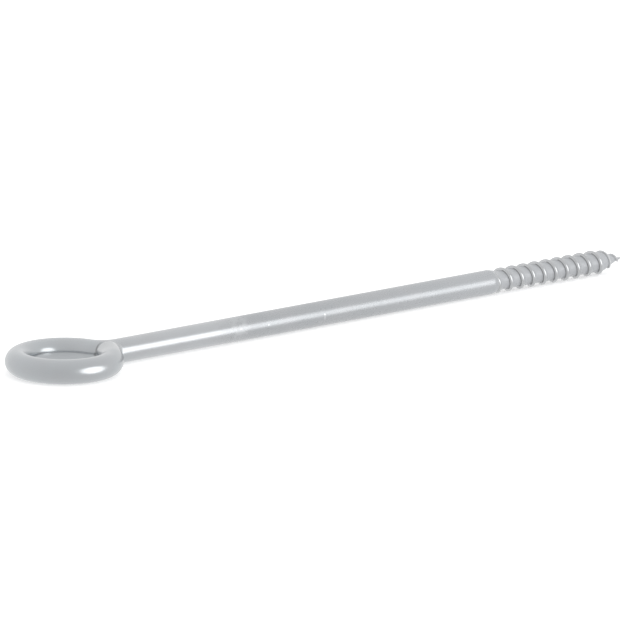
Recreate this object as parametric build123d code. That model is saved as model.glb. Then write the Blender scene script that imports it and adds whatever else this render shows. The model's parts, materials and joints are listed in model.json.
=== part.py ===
from build123d import *
import os
from math import atan2, cos, degrees, pi, radians, sin, sqrt, tan

# A screw eye in galvanised steel: one round wire, bent into a closed eye at one end and
# carrying a rolled wood thread with a gimlet point at the other. Millimetres and degrees.
# Frame: the origin is the centre of the eye, +X runs along the shank to the point and +Z
# stands square to the plane of the eye. The neck bends towards +Y.

# --- wire and eye ---
wire_d = 8.15         # 8 mm wire with its zinc, the same in the eye and in the plain shank
eye_inner_d = 22.25   # clear hole of the eye
neck_bend_r = 8.15    # centreline radius of the bend between shank and eye
end_short = 12.4      # the free end stops this many degrees short of the shank's axis
end_rise = 1.4        # the free end stands this far out of the plane of the eye
rise_arc = 47.0       # and rises over this many degrees of the eye
end_round = 1.0       # rounding of the sheared end

# --- shank and thread ---
shank_end = 176.6     # the plain shank ends this far from the centre of the eye
point_x = 232.2       # the tip, measured from the centre of the eye
pitch = 4.74          # axial advance of one right-hand turn
thread_depth = 0.96   # crest to root
crest_proud = 0.04    # the crests stand this far above the plain shank
crest_flat = 0.6      # flat on top of the thread
flank_eye = 0.28      # axial length of the steep flank that faces the eye and takes the pull
flank_tip = 1.0       # axial length of the flank that faces the tip
first_crest = 3.12    # from the end of the plain shank to the first crest underneath
neckdown_angle = 13.6  # half-angle of the cone from the shank down to the root
fade_len = 4.4        # axial length over which the thread grows to its full depth

# --- gimlet point ---
point_angle = 21.5    # half-angle of the point
point_pitch = 4.2     # the turns close up on the point
crest_lead = 1.45     # the cone of the crests ends this far beyond the tip
root_short = 0.2      # the cone of the roots ends this far short of the tip
pinch_r = 0.28        # radius of the core where the blank was pinched off

wire_r = wire_d / 2
root_r = wire_r + crest_proud - thread_depth
eye_r = eye_inner_d / 2 + wire_r
slope = tan(radians(point_angle))
point_start = point_x - root_short - root_r / slope


# Plain shank, neck and eye: the wire's centreline, from the end of the plain shank.
def on_eye(angle, height=0.0):
    return Vector(eye_r * cos(radians(angle)), eye_r * sin(radians(angle)), height)


def on_neck(angle):
    turned = radians(angle)
    return Vector(neck_x + neck_bend_r * cos(turned), neck_bend_r + neck_bend_r * sin(turned), 0)


neck_x = sqrt(eye_r ** 2 + 2 * eye_r * neck_bend_r)
neck_angle = degrees(atan2(neck_bend_r, neck_x))
rise_from = 360 - end_short - rise_arc
flat_way = Vector(-sin(radians(rise_from)), cos(radians(rise_from)), 0)
wire_end = on_eye(360 - end_short, end_rise)
centreline = Wire([
    Edge.make_line((shank_end, 0, 0), (neck_x, 0, 0)),
    Edge.make_three_point_arc((neck_x, 0, 0), on_neck(-90 - (90 - neck_angle) / 2), on_eye(neck_angle)),
    Edge.make_three_point_arc(on_eye(neck_angle), on_eye((neck_angle + rise_from) / 2), on_eye(rise_from)),
    Edge.make_tangent_arc(on_eye(rise_from), flat_way, wire_end),
])
rod = sweep(Plane(origin=(shank_end, 0, 0), z_dir=(-1, 0, 0)) * Circle(wire_r), path=centreline)
sheared = rod.faces().sort_by_distance(wire_end)[0]
rod = fillet(sheared.edges(), end_round)

# The shank necks down to the root of the thread; the cone ends inside the core.
neckdown_slope = tan(radians(neckdown_angle))
neckdown_len = (wire_r - root_r + 0.5) / neckdown_slope
neckdown = Cone(wire_r, wire_r - neckdown_slope * neckdown_len, neckdown_len,
                align=(Align.CENTER, Align.CENTER, Align.MIN))
neckdown = Pos(shank_end, 0, 0) * Rot(0, 90, 0) * neckdown


# The thread: a bar bounded by helical strips, four to a turn (flank, crest, flank, root).
def root_at(x):
    return max(pinch_r, min(root_r, slope * (point_x - root_short - x)))


def crest_at(x):
    grown = min(1.0, max(0.12, (x - shank_end + 1) / fade_len))
    height = min(root_r + thread_depth * grown, slope * (point_x + crest_lead - x))
    return max(root_at(x) + 0.08, height)


def centre_at(turn):
    x = shank_end + first_crest + pitch * turn
    return x if x < point_start else point_start + (x - point_start) * point_pitch / pitch


def rail_at(offset, on_crest, turn):
    centre = centre_at(turn)
    share = (crest_at(centre) - root_at(centre)) / thread_depth
    x = centre + offset * share
    r = crest_at(x) if on_crest else root_at(x)
    around = 2 * pi * turn - pi / 2
    return Vector(x, r * cos(around), r * sin(around))


def rail(offset, on_crest, turn, steps=12):
    points = [rail_at(offset, on_crest, turn + k / steps) for k in range(steps + 1)]
    near = 1e-4
    ways = [
        (rail_at(offset, on_crest, t + near) - rail_at(offset, on_crest, t - near)) / (2 * near)
        for t in (turn, turn + 1)
    ]
    return Edge.make_spline(points, tangents=ways, parameters=[k / steps for k in range(steps + 1)], scale=False)


def strip(one, other):
    return Face.make_surface_from_curves(one, other)


feet = [(-crest_flat / 2 - flank_eye, False), (-crest_flat / 2, True),
        (crest_flat / 2, True), (crest_flat / 2 + flank_tip, False)]


def end_faces(turn):
    helix = rail(*feet[0], turn)
    profile = [rail_at(*foot, turn) for foot in feet] + [rail_at(*feet[0], turn + 1)]
    near_axis = [Vector(profile[-1].X, 0, 0), Vector(profile[0].X, 0, 0)]
    return [strip(Edge.make_line(near_axis[1], near_axis[0]), helix),
            Face(Wire.make_polygon(profile + near_axis, close=True))]


first_turn = -2
last_turn = 0
while centre_at(last_turn) < point_x + point_pitch + 1:
    last_turn += 1
skin = end_faces(first_turn) + end_faces(last_turn)
for turn in range(first_turn, last_turn):
    rails = [rail(*foot, turn) for foot in feet] + [rail(*feet[0], turn + 1)]
    skin += [strip(one, other) for one, other in zip(rails, rails[1:])]
thread = Solid(Shell(skin))
thread -= Pos(point_x + 50, 0, 0) * Box(100, 4 * wire_d, 4 * wire_d)

screw_eye = rod + neckdown + thread
screw_eye.label = "screw_eye"
os.makedirs("parts", exist_ok=True)
export_step(screw_eye, "parts/screw_eye.step")
print(len(screw_eye.solids()), "solid,", len(screw_eye.faces()), "faces,", round(screw_eye.volume), "mm3")
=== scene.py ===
"""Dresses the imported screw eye: one galvanised wire with its eye, shank, wood thread and point."""

import json
from math import atan2, cos, pi, radians, sin, sqrt, tan

import bmesh
import bpy
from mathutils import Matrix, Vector


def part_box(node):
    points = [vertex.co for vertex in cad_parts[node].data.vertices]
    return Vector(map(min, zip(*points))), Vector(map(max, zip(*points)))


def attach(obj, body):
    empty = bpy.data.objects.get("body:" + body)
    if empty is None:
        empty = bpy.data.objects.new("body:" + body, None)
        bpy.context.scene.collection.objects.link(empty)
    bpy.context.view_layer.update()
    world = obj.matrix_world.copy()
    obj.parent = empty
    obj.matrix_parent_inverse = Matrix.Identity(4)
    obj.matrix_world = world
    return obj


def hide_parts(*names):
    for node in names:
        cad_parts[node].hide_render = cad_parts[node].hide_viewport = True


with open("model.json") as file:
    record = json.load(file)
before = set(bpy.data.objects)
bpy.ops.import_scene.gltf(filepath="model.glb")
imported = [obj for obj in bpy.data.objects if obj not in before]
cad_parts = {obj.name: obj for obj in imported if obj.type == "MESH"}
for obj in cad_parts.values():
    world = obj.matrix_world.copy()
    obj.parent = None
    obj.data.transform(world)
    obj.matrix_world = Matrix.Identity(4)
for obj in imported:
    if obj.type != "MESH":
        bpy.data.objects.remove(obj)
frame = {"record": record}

bl_info = {
    "name": "Screw Eye",
    "version": (1, 0, 0),
    "blender": (4, 5, 0),
    "location": "View3D > Sidebar > Screw Eye",
    "description": "Builds a zinc-plated screw eye with a wood thread, and a studio to see it in",
    "category": "Object",
}

NODE = "screw_eye"
MM = 0.001
CAD_LOW, CAD_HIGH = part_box(NODE)
SHANK = next(mount for mount in frame["record"]["mounts"] if mount["name"] == "shank")
WIRE_R = SHANK["dims"]["r_mm"] * MM
TIP_X = CAD_HIGH.x
LENGTH = CAD_HIGH.x - CAD_LOW.x
FLOOR_HALF = 3.0  # half the floor's width, in metres
SENSOR = 36  # width of the camera's sensor, in millimetres
FIRST_TURN = -2  # the helix is followed from here, where its ridge still lies inside the shank
JOIN_GAP = 1.2 * MM  # from the shank's last ring to the foot of the first ridge
FAINT_SHARE = 0.12  # the ridge starts with this share of its depth
FAINT_DEPTH = 0.08 * MM  # and is never lower than this
FADE_EARLY = 1 * MM  # it starts to grow this far before the end of the plain shank
SOFT_ROOT = 0.1 * MM  # softness where the core turns into the point's cone
SOFT_CREST = 0.05 * MM  # where the line of the crests does
SOFT_NECK = 0.08 * MM  # and where the shank's cone runs out on the thread
PROFILE_NEAR = 0.11 * MM  # reach of the rows of points round each corner of the profile
ROOT_ROWS = 6  # rows of points along the root, between two ridges
TIP_GAP = 0.06 * MM  # the last rows stop this far short of the tip, and one face closes it
# Stretches over which one finish turns into the next, measured from the centre of the eye:
TO_FRESH = (14 * MM, 34 * MM)
TO_WORN = (56 * MM, 74 * MM)
TO_HANDLED = (75 * MM, 125 * MM)
ROLLED_FROM = 115 * MM
STRETCH_WANDER = 30 * MM  # how far those stretches wander to and fro
# The first kind paints glints: bright spots of the lamp's highlight at knocks, painted into the colour.
KNOCKS = (  # kind, place along the shank and height in mm, half length, half height, strength
    ("painted_sheen", 81.3, 0.55, 0.35, 0.3, 1.0),
    ("dark", 81.0, -0.6, 0.5, 0.35, 0.3),
    ("painted_sheen", 104.7, 0.6, 0.3, 0.4, 1.0),
    ("painted_sheen", 104.7, -0.5, 0.25, 1.0, 0.45),
    ("dark", 149.5, -0.5, 0.4, 0.4, 0.25),
    ("painted_sheen", 70.0, 0.9, 0.5, 0.3, 0.8),
    ("dark", 66.0, -1.6, 0.4, 0.9, 0.3),
)


def length(name, text, value):
    return bpy.props.FloatProperty(name=name, description=text, default=value, unit="LENGTH", precision=5)


def angle(name, text, value):
    return bpy.props.FloatProperty(name=name, description=text, default=radians(value), subtype="ANGLE")


def share(name, text, value, high=1.0):
    return bpy.props.FloatProperty(name=name, description=text, default=value, min=0.0, max=high,
                                   subtype="FACTOR")


def colour(name, text, value):
    return bpy.props.FloatVectorProperty(name=name, description=text, default=value, size=3, subtype="COLOR",
                                         min=0.0, max=1.0)


def count(name, text, value, low):
    return bpy.props.IntProperty(name=name, description=text, default=value, min=low)


class ScrewEyeWire(bpy.types.PropertyGroup):
    """Sizes of the bent wire."""

    wire_r: length("Wire radius", "Half the wire's diameter", WIRE_R)
    eye_r: length("Eye radius", "Centre of the eye to the wire's centreline", 15.2 * MM)
    neck_r: length("Neck bend", "Centreline radius of the bend between shank and eye", 8.15 * MM)
    end_short: angle("End short of shank", "Where the free end stops, before the shank's axis", 12.4)
    end_rise: length("End rise", "How far the free end stands out of the eye's plane", 1.4 * MM)
    rise_arc: angle("Rise arc", "Part of the eye over which the end rises", 47.0)
    end_round: length("End rounding", "Rounding of the sheared end", 1.0 * MM)
    round_steps: count("Rounding steps", "Rings in the rounding of the sheared end", 8, 2)
    around: count("Sides", "Points around the wire", 80, 16)
    bend_step: length("Bend step", "Distance between rings along a bend", 0.45 * MM)
    shank_step: length("Shank step", "Distance between rings along the shank", 5 * MM)


class ScrewEyeThread(bpy.types.PropertyGroup):
    """Sizes of the wood thread and its point."""

    shank_end: length("Shank end", "End of the plain shank, from the centre of the eye", 176.6 * MM)
    point_x: length("Tip", "Tip of the point, from the centre of the eye", TIP_X)
    pitch: length("Pitch", "Axial advance of one turn", 4.74 * MM)
    depth: length("Depth", "Crest to root", 0.96 * MM)
    proud: length("Proud", "How far the crests stand above the plain shank", 0.04 * MM)
    crest_flat: length("Crest flat", "Flat on top of the thread", 0.6 * MM)
    flank_eye: length("Eye flank", "Axial length of the steep flank that faces the eye", 0.28 * MM)
    flank_tip: length("Tip flank", "Axial length of the flank that faces the tip", 1.0 * MM)
    first_crest: length("First crest", "End of the shank to the first crest underneath", 3.12 * MM)
    neckdown: angle("Neck-down", "Half-angle of the cone from the shank to the root", 13.6)
    fade: length("Fade", "Length over which the thread grows to its depth", 4.4 * MM)
    point_angle: angle("Point angle", "Half-angle of the point", 21.5)
    point_pitch: length("Point pitch", "Advance of one turn on the point", 4.2 * MM)
    crest_lead: length("Crest lead", "The crests' cone ends this far beyond the tip", 1.45 * MM)
    root_short: length("Root short", "The roots' cone ends this far short of the tip", 0.2 * MM)
    pinch_r: length("Pinch radius", "Core radius at the tip", 0.28 * MM)
    crest_eye: length("Eye crest rounding", "Softness of the crest's edge at the steep flank", 0.26 * MM)
    crest_tip: length("Tip crest rounding", "Softness of the crest's other edge", 0.06 * MM)
    root_eye: length("Eye root rounding", "Softness of the root's corner at the steep flank", 0.05 * MM)
    root_tip: length("Tip root rounding", "Softness of the root's corner at the other flank", 0.35 * MM)


class ScrewEyeZinc(bpy.types.PropertyGroup):
    """The zinc finish, from the smooth eye to the rolled thread."""

    eye: colour("Eye", "Colour of the smooth plating on the eye", (0.470, 0.492, 0.508))
    fresh: colour("Fresh shank", "Colour of the shank next to the eye", (0.500, 0.515, 0.530))
    worn: colour("Worn shank", "Colour of the handled shank", (0.410, 0.425, 0.440))
    rolled: colour("Rolled end", "Colour of the shank next to the thread", (0.445, 0.462, 0.480))
    tint: colour("Tint", "Colour of the faint warmer patches", (0.460, 0.462, 0.476))
    tint_share: share("Tint share", "Strength of the faint warmer patches", 0.35)
    scuff: colour("Scuff", "Colour of the scuffed patch where the handled shank begins", (0.62, 0.64, 0.65))
    scuff_share: share("Scuff share", "Strength of the scuffed patch", 0.35)
    scuff_x: length("Scuff place", "Middle of the scuffed patch, from the centre of the eye", 70 * MM)
    # Painted highlight: the colour of the glints painted at knocks.
    knock_glint: colour("Knock", "Colour of bright knocks in the shank", (0.85, 0.86, 0.87))
    # Painted sheen: the free end and the top of the neck past it are painted in this lighter colour.
    sheared: colour("Free end", "Colour of the wire towards its sheared end", (0.550, 0.560, 0.570))
    # Painted shade: the gap between the sheared end and the neck is painted in this dark colour, round the
    # end and in a spot on the neck's bend; the dark knocks share it.
    seam: colour("Seam", "Colour of the dirt between the sheared end and the neck", (0.27, 0.275, 0.28))
    gap_shade_r: length("Seam radius", "Radius of the dirt round the sheared end", 3.35 * MM)
    pocket: angle("Dirt pocket", "Where on the neck's bend dirt fills the gap to the sheared end", 222.9)
    dull: colour("Dull zinc", "Colour of the dull zinc beside the sheared end", (0.465, 0.477, 0.486))
    dull_r: length("Dull radius", "Reach of the dull zinc beside the sheared end", 5.1 * MM)
    root: colour("Thread root", "Colour of the matt plating between the crests", (0.450, 0.463, 0.481))
    crest: colour("Thread crest", "Colour of the polished crests", (0.515, 0.525, 0.535))
    # Painted highlight: the crests of the point are painted in this light colour.
    point_crest_highlight: colour("Point crest", "Colour of the bare crests on the point", (0.72, 0.73, 0.74))
    # Painted light: the steep flank is painted lighter than the root.
    flank_painted_light: colour("Thread flank", "Colour of the steep flank above the corner", (0.66, 0.67, 0.68))
    # Painted light: underneath, the steep flank is painted lighter still, as if lit from below.
    flank_painted_light_under: colour("Flank underneath", "Colour of the steep flank underneath", (0.84, 0.85, 0.86))
    # Painted shade: the corner at the foot of the steep flank is painted dark, except underneath and along a
    # strip near the top.
    corner_painted_shade: colour("Thread corner", "Colour of the dirt at the foot of the steep flank", (0.25, 0.255, 0.26))
    unshaded_strip: angle("Rubbed strip", "How far round from the top the thread is rubbed clean of dirt", 16.0)
    metal_worn: share("Metal of worn shank", "How far the handled shank still reflects as bare metal", 0.65)
    metal_root: share("Metal of root", "How far the zinc between the crests reflects as bare metal", 0.15)
    gloss_eye: share("Roughness of eye", "Roughness of the smooth plating", 0.25)
    gloss_worn: share("Roughness of worn shank", "Roughness of the handled shank", 0.28)
    gloss_root: share("Roughness of root", "Roughness between the crests", 0.35)
    gloss_crest: share("Roughness of crest", "Roughness of the polished crests", 0.29)
    grain: length("Grain", "Depth of the unevenness in the plating", 0.03 * MM)


class ScrewEyeStage(bpy.types.PropertyGroup):
    """Floor, light and camera."""

    floor: colour("Floor", "Colour of the floor", (0.85, 0.85, 0.85))
    lift: share("Floor lift", "Brightness added to the floor as the camera sees it", 0.42)
    world: share("Surround", "Brightness of the white surround", 0.96, 4.0)
    world_fall: share("Surround fall", "How much the surround is brighter behind and darker in front", 0.11)
    lamp_light: share("Lamp", "Radiance of the round soft lamp", 1.6, 20.0)
    lamp_size: length("Lamp size", "Diameter of the round soft lamp", 2.8)
    lamp_far: length("Lamp distance", "Centre of the eye to the lamp", 3.0)
    lamp_azimuth: angle("Lamp azimuth", "Lamp turned about the upright, 0 stands at -Y", 20.0)
    lamp_elevation: angle("Lamp elevation", "Lamp above the horizon", 9.5)
    azimuth: angle("Azimuth", "Camera turned about the upright, 0 looks along +Y", -38.64)
    elevation: angle("Elevation", "Camera above the horizon", 13.43)
    distance: length("Distance", "Camera to its aim", 8.0)
    aim: share("Aim", "Where the camera aims, as a share of the length from the eye", 0.4875)
    aim_high: length("Aim height", "How far above the shank's axis the camera aims", 0.19 * MM)
    view_share: share("View", "Width of the view as a share of the length", 0.8138)


# --- the wire and its thread as one closed mesh ------------------------------------
def soft_max(a, b, soft):
    """The larger of two values, eased where they meet."""
    return 0.5 * (a + b + sqrt((a - b) ** 2 + soft ** 2))


def soft_min(a, b, soft):
    """The smaller of two values, eased where they meet."""
    return 0.5 * (a + b - sqrt((a - b) ** 2 + soft ** 2))


class ThreadForm:
    """Radius and axial place of any point of the thread, from its sizes."""

    def __init__(self, sizes, wire_r):
        self.sizes = sizes
        self.wire_r = wire_r
        self.root_r = wire_r + sizes.proud - sizes.depth
        self.slope = tan(sizes.point_angle)
        self.point_start = sizes.point_x - sizes.root_short - self.root_r / self.slope
        self.point_grow = self.slope * (sizes.crest_lead + sizes.root_short) / sizes.depth
        self.foot_eye = -sizes.crest_flat / 2 - sizes.flank_eye
        self.foot_tip = sizes.crest_flat / 2 + sizes.flank_tip

    def centre(self, turn):
        """Place along the axis of the ridge's middle, this many turns on from the first crest underneath."""
        sizes = self.sizes
        x = sizes.shank_end + sizes.first_crest + sizes.pitch * turn
        if x < self.point_start:
            return x
        return self.point_start + (x - self.point_start) * sizes.point_pitch / sizes.pitch

    def root(self, x):
        """Radius of the core."""
        sizes = self.sizes
        cone = self.slope * (sizes.point_x - sizes.root_short - x)
        return max(sizes.pinch_r, soft_min(self.root_r, cone, SOFT_ROOT))

    def depth(self, x):
        """Height of the crest over the core."""
        sizes = self.sizes
        grown = min(1.0, max(FAINT_SHARE, (x - sizes.shank_end + FADE_EARLY) / sizes.fade))
        cone = self.slope * (sizes.point_x + sizes.crest_lead - x)
        crest = soft_min(self.root_r + sizes.depth * grown, cone, SOFT_CREST)
        return max(FAINT_DEPTH, crest - self.root(x))

    def ridge(self, along, depth):
        """Height of the ridge at a distance along from its middle, for a ridge of this depth."""
        sizes = self.sizes
        grow = depth / sizes.depth
        rise_eye = (along - self.foot_eye * grow) / (sizes.flank_eye * grow) * depth
        rise_tip = (self.foot_tip * grow - along) / (sizes.flank_tip * grow) * depth
        eye_side = soft_min(soft_max(rise_eye, 0.0, sizes.root_eye * grow), depth, sizes.crest_eye * grow)
        tip_side = soft_min(soft_max(rise_tip, 0.0, sizes.root_tip * grow), depth, sizes.crest_tip * grow)
        return min(eye_side, tip_side)

    def radius(self, x, along, depth):
        """Radius of the surface at x, at a distance along from the middle of a ridge of this depth."""
        sizes = self.sizes
        turned = self.root(x) + self.ridge(along, depth)
        neck = self.wire_r - max(0.0, x - sizes.shank_end) * tan(sizes.neckdown)
        return soft_max(turned, neck, SOFT_NECK) if neck > self.root_r / 2 else turned

    def stations(self):
        """Rows of one turn: distances from the full ridge's middle, then shares of the root's width."""
        sizes = self.sizes
        corners = (self.foot_eye, -sizes.crest_flat / 2, sizes.crest_flat / 2, self.foot_tip)
        on_ridge = [corner_painted_shade + PROFILE_NEAR * out for corner_painted_shade in corners for out in (-1.0, -0.4, 0.4, 1.0)]
        on_ridge += [(corners[0] + corners[1]) / 2, (corners[2] + corners[3]) / 2, 0.0]
        return sorted(on_ridge), [k / (ROOT_ROWS + 1) for k in range(1, ROOT_ROWS + 1)]


def bent_line(wire):
    """Rings of the bent wire as (centre, radius) from the shank round the eye to the free end."""
    eye_r, neck_r = wire.eye_r, wire.neck_r
    neck_x = sqrt(eye_r ** 2 + 2 * eye_r * neck_r)
    neck_angle = atan2(neck_r, neck_x)
    rings = []
    neck_turn = pi / 2 - neck_angle
    steps = max(2, round(neck_turn * neck_r / wire.bend_step))
    for k in range(steps):
        turned = -pi / 2 - neck_turn * k / steps
        rings.append(Vector((neck_x + neck_r * cos(turned), neck_r + neck_r * sin(turned), 0)))
    rise_from = 2 * pi - wire.end_short - wire.rise_arc
    steps = round((rise_from - neck_angle) * eye_r / wire.bend_step)
    for k in range(steps):
        turned = neck_angle + (rise_from - neck_angle) * k / steps
        rings.append(Vector((eye_r * cos(turned), eye_r * sin(turned), 0)))
    start = Vector((eye_r * cos(rise_from), eye_r * sin(rise_from), 0))
    way = Vector((-sin(rise_from), cos(rise_from), 0))
    last = 2 * pi - wire.end_short
    end = Vector((eye_r * cos(last), eye_r * sin(last), wire.end_rise))
    chord = end - start
    side = (chord - way * chord.dot(way)).normalized()
    tail_r = chord.length_squared / (2 * chord.dot(side))
    tail_turn = 2 * atan2(chord.dot(side), chord.dot(way))
    rounded_from = tail_turn * tail_r - wire.end_round
    steps = round(rounded_from / wire.bend_step)
    tail = [(rounded_from * k / steps, wire.wire_r) for k in range(steps)]
    for k in range(wire.round_steps + 1):
        turned = pi / 2 * k / wire.round_steps
        lost = wire.end_round * (1 - cos(turned))
        tail.append((rounded_from + wire.end_round * sin(turned), wire.wire_r - lost))
    rings = [(centre, wire.wire_r) for centre in rings]
    for gone, r in tail:
        turned = gone / tail_r
        rings.append((start + side * (tail_r * (1 - cos(turned))) + way * (tail_r * sin(turned)), r))
    return rings, neck_x


class WireMesh:
    """Collects the rings of the wire into one closed mesh."""

    def __init__(self, wire, thread):
        self.wire = wire
        self.thread = thread
        self.form = ThreadForm(thread, wire.wire_r)
        self.points = []
        self.faces = []

    def ring(self, centre, across, up, r):
        """Points once round, from underneath; gives their numbers."""
        sides = self.wire.around
        first = len(self.points)
        for k in range(sides):
            turned = 2 * pi * k / sides - pi / 2
            self.points.append(centre + across * (r * cos(turned)) + up * (r * sin(turned)))
        return list(range(first, first + sides))

    def join(self, one, other):
        """Faces between two rings."""
        sides = len(one)
        for k in range(sides):
            after = (k + 1) % sides
            self.faces.append((one[k], one[after], other[after], other[k]))

    def bent(self, first_x):
        """Shank, neck and eye, from the ring at first_x to the free end."""
        wire = self.wire
        line, neck_x = bent_line(wire)
        across, up = Vector((0, 1, 0)), Vector((0, 0, 1))
        steps = max(2, round((first_x - neck_x) / wire.shank_step))
        run = neck_x - first_x
        straight = [(Vector((first_x + run * k / steps, 0, 0)), wire.wire_r) for k in range(steps)]
        centres = [centre for centre, r in straight + line]
        radii = [r for centre, r in straight + line]
        ways = [(centres[min(k + 1, len(centres) - 1)] - centres[max(k - 1, 0)]).normalized()
                for k in range(len(centres))]
        ways[0] = Vector((-1, 0, 0))
        rings = []
        way = ways[0]
        for centre, new_way, r in zip(centres, ways, radii):
            turn = way.rotation_difference(new_way)
            across, up, way = turn @ across, turn @ up, new_way
            rings.append(self.ring(centre, across, up, r))
        for one, other in zip(rings, rings[1:]):
            self.join(other, one)
        self.close_end(rings[-1], centres[-1], across, up, way)
        return rings[0]

    def close_end(self, last, centre, across, up, way):
        """The sheared face, inside the rounding."""
        r = self.wire.wire_r - self.wire.end_round
        before = last
        for inner in (0.75, 0.45, 0.2):
            ring = self.ring(centre, across, up, r * inner)
            self.join(ring, before)
            before = ring
        pole = len(self.points)
        self.points.append(centre)
        sides = len(before)
        for k in range(sides):
            self.faces.append((before[(k + 1) % sides], before[k], pole))

    def threaded(self, start_ring, first_turn):
        """A grid that follows the helix.

        It has a column for each side of the wire and a row for each place on the profile."""
        form, sizes = self.form, self.thread
        sides = self.wire.around
        on_ridge, on_root = form.stations()
        per_turn = len(on_ridge) + len(on_root)
        last_turn = first_turn
        while form.centre(last_turn) < sizes.point_x + sizes.point_pitch:
            last_turn += 1
        tip = sizes.point_x - TIP_GAP

        def place(row, column):
            """Place along the axis and radius of one point, or None beyond the tip."""
            turn = first_turn + row // per_turn + column / sides
            station = row % per_turn
            centre = form.centre(turn)
            depth = form.depth(centre)
            grow = depth / sizes.depth
            if station < len(on_ridge):
                along = on_ridge[station] * grow
            else:
                after = form.centre(turn + 1)
                begin = on_ridge[-1] * grow
                end = after - centre + on_ridge[0] * form.depth(after) / sizes.depth
                along = begin + (end - begin) * on_root[station - len(on_ridge)]
            x = centre + along
            r = form.radius(x, along, depth)
            if along > form.foot_tip * grow:
                after = form.centre(turn + 1)
                r = max(r, form.radius(x, x - after, form.depth(after)))
            else:
                before = form.centre(turn - 1)
                r = max(r, form.radius(x, x - before, form.depth(before)))
            return (x, r) if x < tip else None

        rows = per_turn * (last_turn - first_turn)
        grid = {}
        for column in range(sides):
            turned = 2 * pi * column / sides - pi / 2
            for row in range(rows):
                put = place(row, column)
                if put is None:
                    break
                x, r = put
                grid[row, column] = len(self.points)
                self.points.append(Vector((x, r * cos(turned), r * sin(turned))))
        self.fill(grid, start_ring, per_turn, sides, rows)

    def fill(self, grid, start_ring, per_turn, sides, rows):
        """Faces of the grid, whose last column meets its first a turn on, and those that join the shank."""

        def at(row, column):
            return grid.get((row + per_turn, 0)) if column == sides else grid.get((row, column))

        for column in range(sides):
            for row in range(rows - 1):
                corners = (at(row, column), at(row, column + 1), at(row + 1, column + 1), at(row + 1, column))
                if None not in corners:
                    self.faces.append(corners)
        for column in range(sides - 1):
            self.faces.append((start_ring[column], start_ring[column + 1], at(0, column + 1), at(0, column)))
        seam = [at(row, 0) for row in range(per_turn, -1, -1)]
        self.faces.append([at(0, sides - 1), start_ring[sides - 1], start_ring[0]] + seam[::-1])


def closed_mesh(name, wire, thread):
    """The whole screw eye as one mesh, with its open ends closed."""
    maker = WireMesh(wire, thread)
    first_x = maker.form.centre(FIRST_TURN) + maker.form.foot_eye - JOIN_GAP
    maker.threaded(maker.bent(first_x), FIRST_TURN)
    mesh = bpy.data.meshes.new(name)
    mesh.from_pydata([tuple(point) for point in maker.points], [], maker.faces)
    made = bmesh.new()
    made.from_mesh(mesh)
    open_edges = [edge for edge in made.edges if edge.is_boundary]
    if open_edges:
        bmesh.ops.holes_fill(made, edges=open_edges, sides=0)
    bmesh.ops.recalc_face_normals(made, faces=made.faces)
    for face in made.faces:
        face.smooth = True
    made.to_mesh(mesh)
    left = sum(1 for edge in made.edges if not edge.is_manifold)
    print("mesh", len(made.verts), "points", len(made.faces), "faces", left, "open edges",
          "volume mm3", round(made.calc_volume() * 1e9))
    made.free()
    return mesh


# --- shader maths ------------------------------------------------------------------
def node(tree, kind, settings, sockets):
    """A node of this kind, with its settings made first and its sockets set or linked."""
    made = tree.nodes.new(kind)
    for name, value in settings.items():
        setattr(made, name, value)
    for key, value in sockets.items():
        if isinstance(value, Signal):
            tree.links.new(value.socket, made.inputs[key])
        else:
            made.inputs[key].default_value = value
    return made


class Signal:
    """A socket in a node tree that takes part in Python expressions."""

    def __init__(self, tree, socket):
        self.tree = tree
        self.socket = socket

    def of(self, operation, *values):
        """A Math node on these values, in this order."""
        made = node(self.tree, "ShaderNodeMath", {"operation": operation}, dict(enumerate(values)))
        return Signal(self.tree, made.outputs[0])

    def math(self, operation, *others):
        """A Math node on this signal and then the others."""
        return self.of(operation, self, *others)

    def __add__(self, other):
        return self.of("ADD", self, other)

    def __radd__(self, other):
        return self.of("ADD", other, self)

    def __sub__(self, other):
        return self.of("SUBTRACT", self, other)

    def __rsub__(self, other):
        return self.of("SUBTRACT", other, self)

    def __mul__(self, other):
        return self.of("MULTIPLY", self, other)

    def __rmul__(self, other):
        return self.of("MULTIPLY", other, self)

    def __truediv__(self, other):
        return self.of("DIVIDE", self, other)

    def __rtruediv__(self, other):
        return self.of("DIVIDE", other, self)

    def clamped(self):
        made = node(self.tree, "ShaderNodeClamp", {}, {0: self})
        return Signal(self.tree, made.outputs[0])

    def ramp(self, low, high):
        """0 at low, 1 at high, smooth in between."""
        made = node(self.tree, "ShaderNodeMapRange", {"interpolation_type": "SMOOTHSTEP"},
                    {"Value": self, "From Min": low, "From Max": high})
        return Signal(self.tree, made.outputs[0])

    def band(self, low, rise_to, fall_from, high):
        """1 from rise_to to fall_from, 0 below low and above high, smooth in between."""
        return self.ramp(low, rise_to) * (1 - self.ramp(fall_from, high))


def vector_math(tree, operation, *values):
    """A Vector Math node on these values, with the output that the operation gives."""
    made = node(tree, "ShaderNodeVectorMath", {"operation": operation}, dict(enumerate(values)))
    number = operation in {"DISTANCE", "DOT_PRODUCT", "LENGTH"}
    return Signal(tree, made.outputs["Value" if number else "Vector"])


def mixed(tree, factor, one, other):
    """The colour one at factor 0 and the colour other at factor 1."""
    made = node(tree, "ShaderNodeMix", {"data_type": "RGBA"}, {0: factor, 6: one, 7: other})
    return Signal(tree, made.outputs[2])  # inputs 6 and 7 and output 2 are the node's colours


def noise(tree, place, per_metre, detail, rough, stretch=(1, 1, 1)):
    """Noise around 0 in the object's own coordinates, with this many features to a metre."""
    made = node(tree, "ShaderNodeTexNoise", {}, {
        "Vector": vector_math(tree, "MULTIPLY", place, stretch),
        "Scale": per_metre, "Detail": detail, "Roughness": rough})
    return Signal(tree, made.outputs["Fac"]) - 0.5


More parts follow.
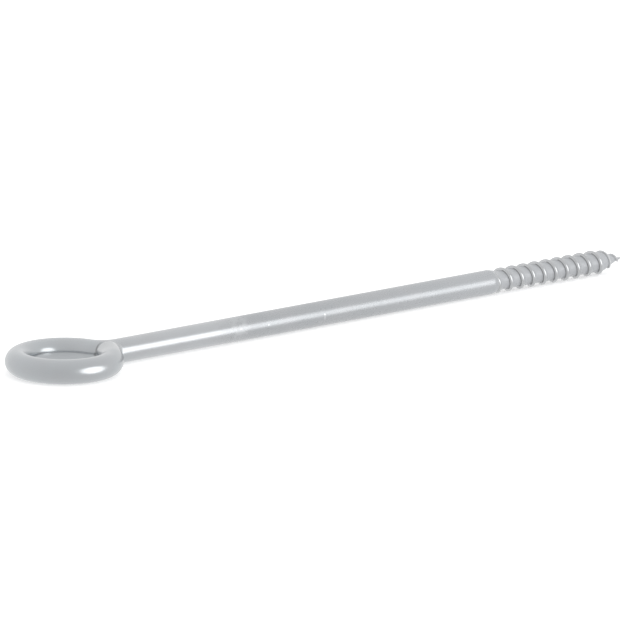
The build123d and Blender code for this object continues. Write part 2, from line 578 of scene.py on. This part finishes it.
def cleared(name, kind):
    """A new material or world with an empty node tree."""
    made = kind.new(name)
    made.use_nodes = True
    made.node_tree.nodes.clear()
    return made


def outward(azimuth, elevation):
    """Direction from the object: azimuth 0 is -Y and turns towards +X."""
    return Vector((sin(azimuth) * cos(elevation), -cos(azimuth) * cos(elevation), sin(elevation)))


# --- the zinc and its marks --------------------------------------------------------
def helix_phase(along, side, high, thread, form):
    """Distance along the axis from the nearest crest's middle, towards the tip, on the same side of the wire.

    On the point, where the ridge is lower and narrower, it is told as on the full ridge."""
    from_underneath = high.math("ARCTAN2", side) / (2 * pi) + 0.25
    beyond = (along - form.point_start).math("MAXIMUM", 0.0)
    unrolled = along + beyond * (thread.pitch / thread.point_pitch - 1)
    turns = (unrolled - (thread.shank_end + thread.first_crest)) / thread.pitch - from_underneath
    from_crest = (turns - turns.math("ROUND")) * thread.pitch
    on_point = along.ramp(form.point_start - 0.8 * MM, form.point_start)
    return from_crest * (1 + on_point * (thread.point_pitch / thread.pitch / form.point_grow - 1))


def thread_marks(along, side, high, look, thread, form):
    """Shares of the parts of the thread that differ in finish or in painted light and shade.

    They are the whole thread, its crests, the steep flank painted lighter, the part of it underneath painted
    lighter still, the painted shade at its foot and the painted highlight on the crests of the point."""
    phase = helix_phase(along, side, high, thread, form)
    half = thread.crest_flat / 2
    threaded = along.ramp(thread.shank_end + 0.2 * MM, thread.shank_end + 1.8 * MM)
    crest = threaded * phase.band(-half - 0.08 * MM, -half, half, half + 0.30 * MM)
    # The steep flank is painted lighter, and lighter still underneath.
    flank_painted_light = threaded * phase.band(form.foot_eye, form.foot_eye + 0.1 * MM, -half - 0.1 * MM, -half)
    flank_painted_light_under = flank_painted_light * (1 - high.ramp(-form.root_r, -form.root_r * 0.7))

    # The painted shade in the corner stops underneath and along a strip near the top, and thins out on the
    # point.
    from_axis = (side * side + high * high).math("SQRT")
    towards_strip = (high * cos(look.unshaded_strip) + side * sin(look.unshaded_strip)) / from_axis
    shaded_round_turn = (high / from_axis).ramp(-0.94, -0.82) * (1 - towards_strip.ramp(0.89, 0.945))
    shade_left_on_point = 1 - along.ramp(form.point_start - 0.5 * MM, form.point_start + 2.0 * MM) * 0.7
    corner_painted_shade = threaded * shaded_round_turn * shade_left_on_point * phase.band(
        form.foot_eye - 0.01 * MM, form.foot_eye, form.foot_eye + 0.07 * MM, form.foot_eye + 0.18 * MM)
    # The crests of the point get a painted highlight.
    point_highlight = crest * along.band(form.point_start, form.point_start + thread.pitch / 2,
                              thread.point_x - 3.4 * MM, thread.point_x - 2.2 * MM)
    return threaded, crest, flank_painted_light, flank_painted_light_under, corner_painted_shade, point_highlight


def end_marks(tree, place, look, wire):
    """Shares of the painted sheen on the sheared end, of the painted shade in the gap behind it and of the
    dull zinc beside that.

    beyond is the distance past the sheared face, aside the distance from the line that leads to the neck."""
    rings, neck_x = bent_line(wire)
    face, before = rings[-1][0], rings[-2][0]
    neck = Vector((neck_x, wire.neck_r - wire.wire_r / 2, -wire.wire_r / 4))
    ways = ((face - before).normalized(), (neck - face).normalized(), Vector((1, 0, 0)), Vector((0, 0, 1)))
    beyond, to_neck, along, high = (
        vector_math(tree, "DOT_PRODUCT", place, way) - face.dot(way) for way in ways)
    away = vector_math(tree, "DISTANCE", place, face)
    aside = (away * away - to_neck * to_neck).math("SQRT")
    behind = beyond.band(0.15 * MM, 0.4 * MM, 4.5 * MM, 6.0 * MM)

    # Painted sheen: the end, and the top of the neck past the end, are painted lighter.
    on_end = beyond.band(-9 * MM, -5 * MM, 0.1 * MM, 0.3 * MM) * (1 - aside.ramp(4.6 * MM, 5.5 * MM))
    past_end = behind * along.ramp(0.5 * MM, 2.5 * MM) * high.ramp(0.5 * MM, 1.5 * MM) * (
        1 - away.ramp(4.5 * MM, 7.0 * MM))

    # Painted shade in the gap: a line round the end, and a spot on the outer side of the neck's bend.
    line = behind * (1 - high.ramp(1.2 * MM, 3.0 * MM)) * aside.band(
        look.gap_shade_r - 0.3 * MM, look.gap_shade_r, look.gap_shade_r, look.gap_shade_r + 0.45 * MM)
    outer = wire.neck_r + wire.wire_r
    pocket = Vector((neck_x + outer * cos(look.pocket), wire.neck_r + outer * sin(look.pocket), 0.2 * MM))
    pocket_shade = 1 - vector_math(tree, "DISTANCE", place, pocket).ramp(0.4 * MM, 1.0 * MM)

    dull = behind * along.ramp(0.0, 3 * MM) * (1 - high.ramp(0.6 * MM, 1.8 * MM)) * (
        1 - aside.ramp(look.dull_r, look.dull_r + 0.3 * MM))
    return on_end + past_end, line.math("MAXIMUM", pocket_shade), dull


def knocks(tree, place, wire):
    """Shares of the painted glints at knocks and of the dark knocks on the front of the shank."""
    shares = {"painted_sheen": 0.0, "dark": 0.0}
    for kind, along, high, half_long, half_high, strength in KNOCKS:
        centre = Vector((along * MM, -sqrt(wire.wire_r ** 2 - (high * MM) ** 2), high * MM))
        size = Vector((half_long * MM, wire.wire_r / 3, half_high * MM))
        offset = vector_math(tree, "SUBTRACT", place, centre)
        far = vector_math(tree, "LENGTH", vector_math(tree, "DIVIDE", offset, size))
        shares[kind] = (1 - far.ramp(0.4, 1.0)) * strength + shares[kind]
    return shares["painted_sheen"].clamped(), shares["dark"].clamped()


def zinc_material(look, wire, thread, form):
    """Zinc plate, smooth on the eye, handled and scuffed on the shank, polished on the thread, with painted
    light and shade at the free end and on the thread, and painted glints at knocks.
    """
    material = cleared("zinc_plate", bpy.data.materials)
    tree = material.node_tree
    place = Signal(tree, node(tree, "ShaderNodeTexCoord", {}, {}).outputs["Object"])
    parts = node(tree, "ShaderNodeSeparateXYZ", {}, {0: place})
    along, side, high = (Signal(tree, socket) for socket in parts.outputs)

    mottle = noise(tree, place, per_metre=420.0, detail=3.0, rough=0.55)
    streaks = noise(tree, place, per_metre=900.0, detail=3.0, rough=0.6, stretch=(0.12, 1, 1))
    fine = noise(tree, place, per_metre=2600.0, detail=2.0, rough=0.6)
    patches = noise(tree, place, per_metre=110.0, detail=2.0, rough=0.5)
    warm = noise(tree, place, per_metre=190.0, detail=1.0, rough=0.5, stretch=(0.5, 1, 1)).ramp(-0.2, 0.2)

    uneven = along + patches * STRETCH_WANDER
    fresh = uneven.ramp(*TO_FRESH)
    worn = uneven.ramp(*TO_WORN)
    handled = worn * (uneven.ramp(*TO_HANDLED) * 0.4 + 0.6)
    rolled = uneven.ramp(ROLLED_FROM, thread.shank_end)
    from_scuff = (along - look.scuff_x).math("ABSOLUTE")
    scuffed = (1 - from_scuff.ramp(2.0 * MM, 4.5 * MM)) * mottle.ramp(-0.04, 0.12)
    threaded, crest, flank_painted_light, flank_painted_light_under, corner_painted_shade, point_highlight = thread_marks(along, side, high, look, thread, form)
    root = threaded - crest
    painted_sheen, gap_shade, dull = end_marks(tree, place, look, wire)
    painted_glint, dark_knock = knocks(tree, place, wire)

    # Painted light and shade among these: the sheen at the free end, the shade in the gap behind it, the
    # lighter steep flank and its underside, the shade in the thread's corner, the highlight on the point's
    # crests and the glints at knocks.
    base = (*look.eye, 1)
    for amount, paint in (
        (fresh, look.fresh), (worn, look.worn), (rolled, look.rolled),
        (scuffed * look.scuff_share, look.scuff), (warm * look.tint_share, look.tint),
        (painted_sheen, look.sheared), (dull, look.dull), (gap_shade, look.seam),
        (root, look.root), (crest, look.crest), (flank_painted_light, look.flank_painted_light), (flank_painted_light_under, look.flank_painted_light_under),
        (corner_painted_shade, look.corner_painted_shade), (point_highlight, look.point_crest_highlight),
        (painted_glint, look.knock_glint), (dark_knock, look.seam),
    ):
        base = mixed(tree, amount, base, (*paint, 1))
    rough = look.gloss_eye + (look.gloss_worn - look.gloss_eye) * worn
    rough = rough + (mottle * 0.07 + streaks * 0.10) * worn + (scuffed + painted_glint) * 0.1
    rough = rough + root * (look.gloss_root - look.gloss_worn) + crest * (look.gloss_crest - look.gloss_worn)
    rough = rough + dull * 0.3
    metal = 1 - handled * (1 - threaded) * (1 - look.metal_worn) - root * (1 - look.metal_root) - dull * 0.9
    height = (streaks * 0.6 + fine * 0.2 + mottle * 0.8) * (worn * 0.9 + 0.04) + scuffed * 0.3
    bump = node(tree, "ShaderNodeBump", {}, {"Strength": 0.5, "Distance": look.grain, "Height": height})
    shader = node(tree, "ShaderNodeBsdfPrincipled", {}, {
        "Base Color": base, "Metallic": metal, "Roughness": rough, "Normal": Signal(tree, bump.outputs[0])})
    node(tree, "ShaderNodeOutputMaterial", {}, {"Surface": Signal(tree, shader.outputs[0])})
    return material


# --- floor and surround ------------------------------------------------------------
def floor_material(look):
    """White paint that keeps the soft shadow, lifted a little where the camera sees it."""
    material = cleared("floor_paint", bpy.data.materials)
    tree = material.node_tree
    seen = Signal(tree, node(tree, "ShaderNodeLightPath", {}, {}).outputs["Is Camera Ray"])
    paint = node(tree, "ShaderNodeBsdfDiffuse", {}, {"Color": (*look.floor, 1)})
    lift = node(tree, "ShaderNodeEmission", {}, {"Strength": seen * look.lift})
    lit = node(tree, "ShaderNodeAddShader", {}, {
        0: Signal(tree, paint.outputs[0]), 1: Signal(tree, lift.outputs[0])})
    node(tree, "ShaderNodeOutputMaterial", {}, {"Surface": Signal(tree, lit.outputs[0])})
    return material


def surround(look):
    """White all round, a little brighter behind the screw eye than in front of it."""
    world = cleared("surround", bpy.data.worlds)
    tree = world.node_tree
    direction = Signal(tree, node(tree, "ShaderNodeTexCoord", {}, {}).outputs["Generated"])
    behind = vector_math(tree, "DOT_PRODUCT", direction, outward(look.azimuth + pi, 0.0))
    seen = Signal(tree, node(tree, "ShaderNodeLightPath", {}, {}).outputs["Is Camera Ray"])
    lit = behind * look.world_fall + look.world
    sky = node(tree, "ShaderNodeBackground", {}, {"Color": (1, 1, 1, 1), "Strength": seen + (1 - seen) * lit})
    node(tree, "ShaderNodeOutputWorld", {}, {"Surface": Signal(tree, sky.outputs[0])})
    return world


# --- operators ---------------------------------------------------------------------
class OBJECT_OT_screw_eye_build(bpy.types.Operator):
    """Build the zinc-plated screw eye"""

    bl_idname = "object.screw_eye_build"
    bl_label = "Build Screw Eye"

    def execute(self, context):
        scene = context.scene
        mesh = closed_mesh("screw_eye_body", scene.screw_eye_wire, scene.screw_eye_thread)
        piece = bpy.data.objects.new("screw_eye_body", mesh)
        scene.collection.objects.link(piece)
        thread = scene.screw_eye_thread
        form = ThreadForm(thread, scene.screw_eye_wire.wire_r)
        mesh.materials.append(zinc_material(scene.screw_eye_zinc, scene.screw_eye_wire, thread, form))
        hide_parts(NODE)
        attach(piece, "root")
        return {"FINISHED"}


class OBJECT_OT_screw_eye_stage(bpy.types.Operator):
    """Set up the floor, the soft light and the camera"""

    bl_idname = "object.screw_eye_stage"
    bl_label = "Set the Stage"

    def execute(self, context):
        scene = context.scene
        look = scene.screw_eye_stage
        floor_mesh = bpy.data.meshes.new("floor")
        ways = ((-1, -1), (1, -1), (1, 1), (-1, 1))
        corners = [(x * FLOOR_HALF, y * FLOOR_HALF, CAD_LOW.z) for x, y in ways]
        floor_mesh.from_pydata(corners, [], [(0, 1, 2, 3)])
        floor = bpy.data.objects.new("floor", floor_mesh)
        floor_mesh.materials.append(floor_material(look))
        floor.visible_glossy = False  # the zinc mirrors the surround, also below the horizon
        floor.visible_shadow = False  # and the surround's light reaches it from below
        scene.collection.objects.link(floor)
        scene.world = surround(look)

        disc = bpy.data.lights.new("soft_lamp", "AREA")
        disc.shape = "DISK"
        disc.size = look.lamp_size
        disc.energy = look.lamp_light * pi * (pi * look.lamp_size ** 2 / 4)
        lamp = bpy.data.objects.new("soft_lamp", disc)
        way = outward(look.lamp_azimuth, look.lamp_elevation)
        lamp.location = way * look.lamp_far
        lamp.rotation_mode = "QUATERNION"
        lamp.rotation_quaternion = (-way).to_track_quat("-Z", "Y")
        scene.collection.objects.link(lamp)

        aim = Vector((CAD_LOW.x + LENGTH * look.aim, 0, look.aim_high))
        back = outward(look.azimuth, look.elevation)
        optics = bpy.data.cameras.new("camera")
        optics.sensor_width = SENSOR
        optics.lens = SENSOR * look.distance / (LENGTH * look.view_share)
        optics.clip_start, optics.clip_end = 0.1, 100
        camera = bpy.data.objects.new("camera", optics)
        camera.location = aim + back * look.distance
        camera.rotation_mode = "QUATERNION"
        camera.rotation_quaternion = (-back).to_track_quat("-Z", "Y")
        scene.collection.objects.link(camera)
        scene.camera = camera
        scene.view_settings.view_transform = "Standard"
        return {"FINISHED"}


class VIEW3D_PT_screw_eye(bpy.types.Panel):
    """Lists the screw eye's operators and sizes"""

    bl_label = "Screw Eye"
    bl_space_type = "VIEW_3D"
    bl_region_type = "UI"
    bl_category = "Screw Eye"

    def draw(self, context):
        scene = context.scene
        for operator, group in (
            (OBJECT_OT_screw_eye_build, ("screw_eye_wire", "screw_eye_thread", "screw_eye_zinc")),
            (OBJECT_OT_screw_eye_stage, ("screw_eye_stage",)),
        ):
            self.layout.operator(operator.bl_idname)
            for name in group:
                sizes = getattr(scene, name)
                for key in sizes.__annotations__:
                    self.layout.prop(sizes, key)


GROUPS = {
    "screw_eye_wire": ScrewEyeWire,
    "screw_eye_thread": ScrewEyeThread,
    "screw_eye_zinc": ScrewEyeZinc,
    "screw_eye_stage": ScrewEyeStage,
}
CLASSES = (*GROUPS.values(), OBJECT_OT_screw_eye_build, OBJECT_OT_screw_eye_stage, VIEW3D_PT_screw_eye)


def register():
    for one in CLASSES:
        bpy.utils.register_class(one)
    for name, group in GROUPS.items():
        setattr(bpy.types.Scene, name, bpy.props.PointerProperty(type=group))


def unregister():
    for name in GROUPS:
        delattr(bpy.types.Scene, name)
    for one in reversed(CLASSES):
        bpy.utils.unregister_class(one)


def main():
    register()
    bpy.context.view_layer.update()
    bpy.ops.object.screw_eye_stage()
    bpy.ops.object.screw_eye_build()


if __name__ == "__main__":
    main()
